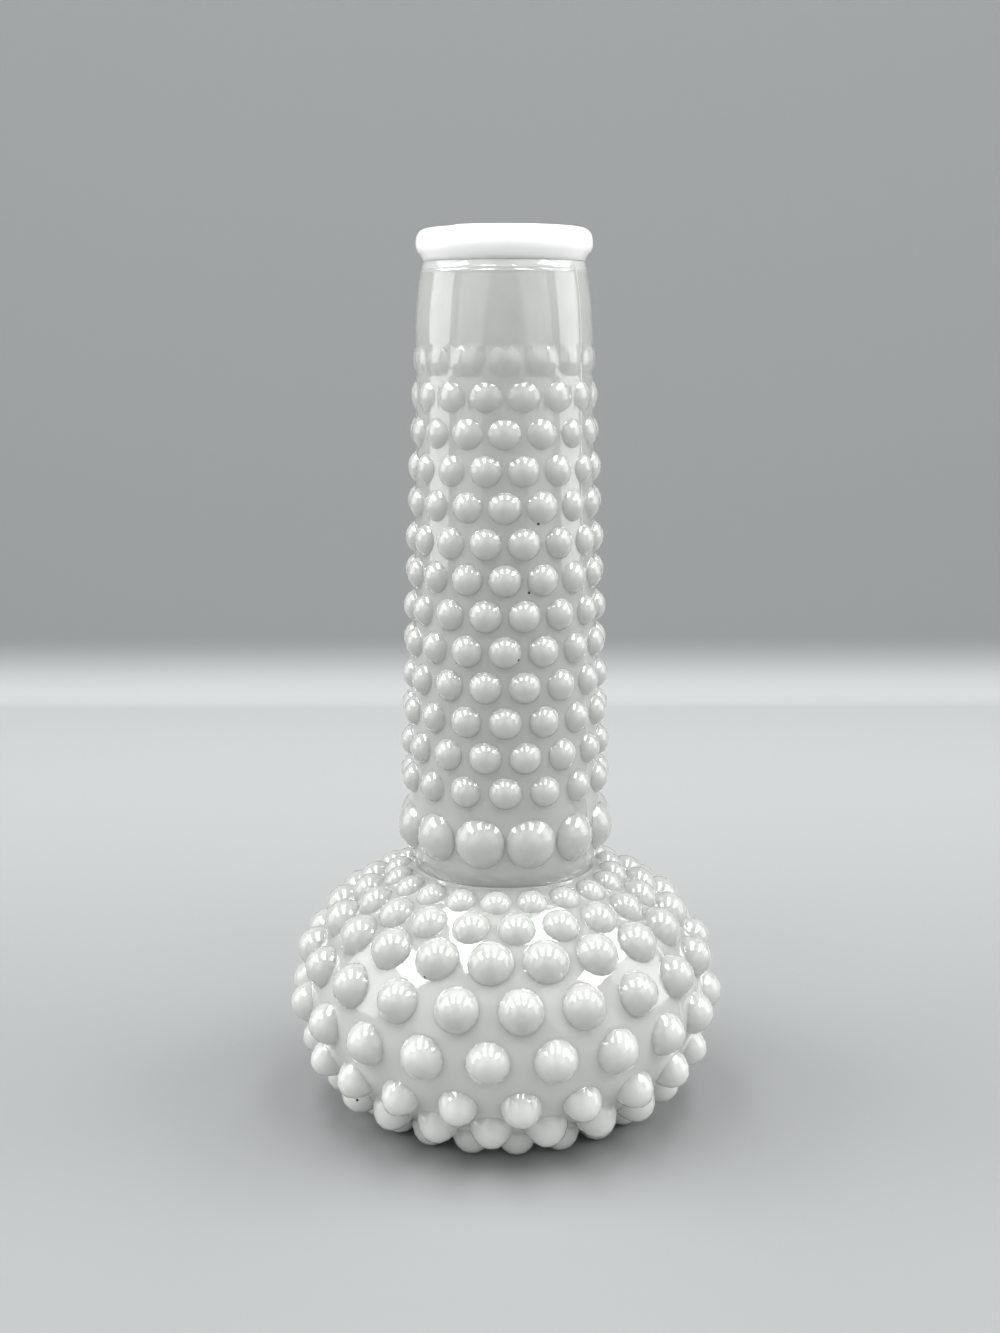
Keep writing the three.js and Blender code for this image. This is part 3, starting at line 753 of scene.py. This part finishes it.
slope_foot = (undercut_radius + SLOPE_OUT, undercut + SLOPE_FOOT)
lip_edge = (lip_radius, undercut + SLOPE_TOP)
lip_crown = (lip_radius - LIP_ROUNDING, top)
lip_bore = (mouth_radius, undercut + BORE_TOP)
lip_outline = bowed((undercut_radius, undercut), (undercut_radius, undercut + FOOT_BOW), slope_foot, 6)
lip_outline += bowed(slope_foot, (lip_radius, undercut + EDGE_BOW), lip_edge, 6)[1:]
lip_outline += bowed(lip_edge, (lip_radius, top), lip_crown, 12)[1:]
lip_outline += bowed(lip_crown, (mouth_radius, top), lip_bore, 8)[1:]
lip_outline += [(mouth_radius, undercut)]
lip_mesh = turned_mesh("rolled_lip", lip_outline, LIP_COLUMNS, rolled)
lip_mesh.shade_smooth()
lip_mesh.materials.append(rim_glass)
rolled_lip = add_object("rolled_lip", lip_mesh)
print("lip:", triangles(rolled_lip), "triangles")

# %% [markdown]
# The two finished pieces take the place of the frame's eight zones: the moulded body that of seven,
# and the rolled lip that of the eighth. Both ride on the part's one body.

# %% Tie the pieces to the frame
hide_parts("base", "heel_wall", "belly_wall", "shoulder_wall", "neck_root",
            "neck_wall", "neck_band")
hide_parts("lip_ring")
for piece in (moulded_body, rolled_lip):
    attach(piece, "root")

# %% [markdown]
# The studio is a pale table with a grey backdrop behind it. They meet in a bright, soft band at the
# height of the vase's root: towards the back the table is painted paler, painted light that makes this
# band. Both are one swept sheet, coloured by its own place, and the backdrop is painted darker towards
# its top, painted shade that evens out the lamps' light on it.


# %% Table and backdrop
# metres from the vase: the sheet, how far back the painted light on the table reaches, and the heights
# between which the painted shade darkens the backdrop
SHEET_HALF_WIDTH, SHEET_FRONT, SHEET_BACK, SHEET_TOP, SHEET_BEND = 1.6, -1.6, 0.47, 1.4, 0.03
TABLE_PAINTED_LIGHT_REACH, PAINTED_SHADE_FROM, PAINTED_SHADE_TO = 0.40, 0.05, 0.45


def swept_sheet():
    foot = SHEET_BACK - SHEET_BEND
    outline = [(y, 0.0) for y in steps_between(SHEET_FRONT, foot, 20)]
    outline += [(foot + SHEET_BEND * math.sin(a), SHEET_BEND - SHEET_BEND * math.cos(a))
                for a in steps_between(0, math.pi / 2, 12)[1:]]
    outline += [(SHEET_BACK, z) for z in steps_between(SHEET_BEND, SHEET_TOP, 20)[1:]]
    verts = [(x, y, z) for y, z in outline for x in (-SHEET_HALF_WIDTH, SHEET_HALF_WIDTH)]
    faces = [(2 * i, 2 * i + 1, 2 * i + 3, 2 * i + 2) for i in range(len(outline) - 1)]
    mesh = bpy.data.meshes.new("studio_sheet")
    mesh.from_pydata(verts, [], faces)
    mesh.shade_smooth()
    return add_object("studio_sheet", mesh)


def studio_paper():
    """Matt paper: no gloss, and a tone that changes slowly from the table to the backdrop, with painted
    light towards the back of the table and painted shade towards the top of the backdrop.
    """
    material = bpy.data.materials.new("matt studio paper")
    material.use_nodes = True
    tree = material.node_tree
    shader = tree.nodes["Principled BSDF"]
    place = add_node(tree, "ShaderNodeTexCoord")["Object"]
    axes = add_node(tree, "ShaderNodeSeparateXYZ", Vector=place)
    # painted light: the table is painted paler towards the back, into a bright band where it meets the
    # backdrop
    along = add_node(tree, "ShaderNodeMapRange", {"interpolation_type": "SMOOTHSTEP"},
                     Value=axes["Y"], From_Min=0.0, From_Max=TABLE_PAINTED_LIGHT_REACH)[0]
    table = add_node(tree, "ShaderNodeMix", {"data_type": "RGBA"}, i0=along, i6=colour("#949696"),
                     i7=colour("#afb1b1"))[2]
    up = add_node(tree, "ShaderNodeMapRange", {"interpolation_type": "SMOOTHSTEP"},
                  Value=axes["Z"], From_Min=0.0, From_Max=SHEET_BEND)[0]
    # painted shade: the backdrop is painted darker towards the top, where the lamps light it more
    painted_backdrop_shade = add_node(tree, "ShaderNodeMapRange", {"interpolation_type": "SMOOTHSTEP"},
                    Value=axes["Z"], From_Min=PAINTED_SHADE_FROM, From_Max=PAINTED_SHADE_TO)[0]
    wall = add_node(tree, "ShaderNodeMix", {"data_type": "RGBA"}, i0=painted_backdrop_shade, i6=colour("#878989"),
                    i7=colour("#7f8181"))[2]
    tone = add_node(tree, "ShaderNodeMix", {"data_type": "RGBA"}, i0=up, i6=table, i7=wall)[2]
    tree.links.new(tone, shader.inputs["Base Color"])
    shader.inputs["Roughness"].default_value = 0.9
    shader.inputs["Specular IOR Level"].default_value = 0.1
    return material


studio = swept_sheet()
studio.data.materials.append(studio_paper())
print("studio sheet:", len(studio.data.polygons), "faces")

# %% [markdown]
# Glass is lit by what it mirrors. Four lamps hang side by side over the vase and run from front to
# back: each hob shows them as four short strokes, and the shoulder, where it faces them, turns white
# between the hobs. Pale screens at the sides and the front corners give the neck its light flanks
# and leave its middle darker. Lamps are given by their brightness, not their power, because
# brightness is what a mirror image keeps: Blender spreads a watt over four times the lamp's area.


# %% Lights
def soft_lamp(name, place, aim, across, along, brightness):
    """A flat lamp of across by along metres. Its long side stays as near front-to-back as it can."""
    data = bpy.data.lights.new(name, "AREA")
    data.shape = "RECTANGLE"
    data.size, data.size_y = across, along
    data.energy = 4 * across * along * brightness
    lamp = bpy.data.objects.new(name, data)
    away = (Vector(place) - Vector(aim)).normalized()
    side = Vector((0, 1, 0)).cross(away).normalized()
    length = away.cross(side)
    lamp.matrix_world = Matrix.Translation(place) @ Matrix((side, length, away)).transposed().to_4x4()
    lamp.visible_camera = False
    bpy.context.collection.objects.link(lamp)
    return lamp


# each by its name, place, aim, width, length and brightness
for side in (-1, 1):
    soft_lamp("inner_strip", (0.2 * side, -0.07, 0.75), (0.1 * side, -0.07, 0.1), 0.17, 0.72, 5.8)
    soft_lamp("outer_strip", (0.68 * side, -0.07, 0.68), (0, -0.07, 0.1), 0.22, 0.78, 5.8)
    soft_lamp("front_screen", (0.86 * side, -0.94, 0.45), (0, 0, 0.12), 1.5, 0.85, 0.5)
    soft_lamp("side_screen", (1.2 * side, 0.1, 0.4), (0, 0, 0.12), 1.3, 0.9, 1.3)
# the fill only lifts the shade on the near side; glass would mirror its edges
soft_lamp("low_fill", (0, -1.3, 0.12), (0, 0, 0.06), 1.5, 0.3, 1.2).visible_glossy = False

# %% [markdown]
# The air of a bright room is an even, pale light from every side. It keeps the shaded glass light,
# and its own colour is nearly neutral, so the grey-green of the glass is the glass's own.

# %% Light of the room
AIR_COLOUR, AIR_STRENGTH = "#c6c8c8", 0.74
world = bpy.data.worlds.new("studio_air")
bpy.context.scene.world = world
world.use_nodes = True
air = world.node_tree.nodes["Background"].inputs
air["Color"].default_value = colour(AIR_COLOUR)
air["Strength"].default_value = AIR_STRENGTH
bpy.context.scene.view_settings.view_transform = "Standard"
print("air strength:", AIR_STRENGTH)
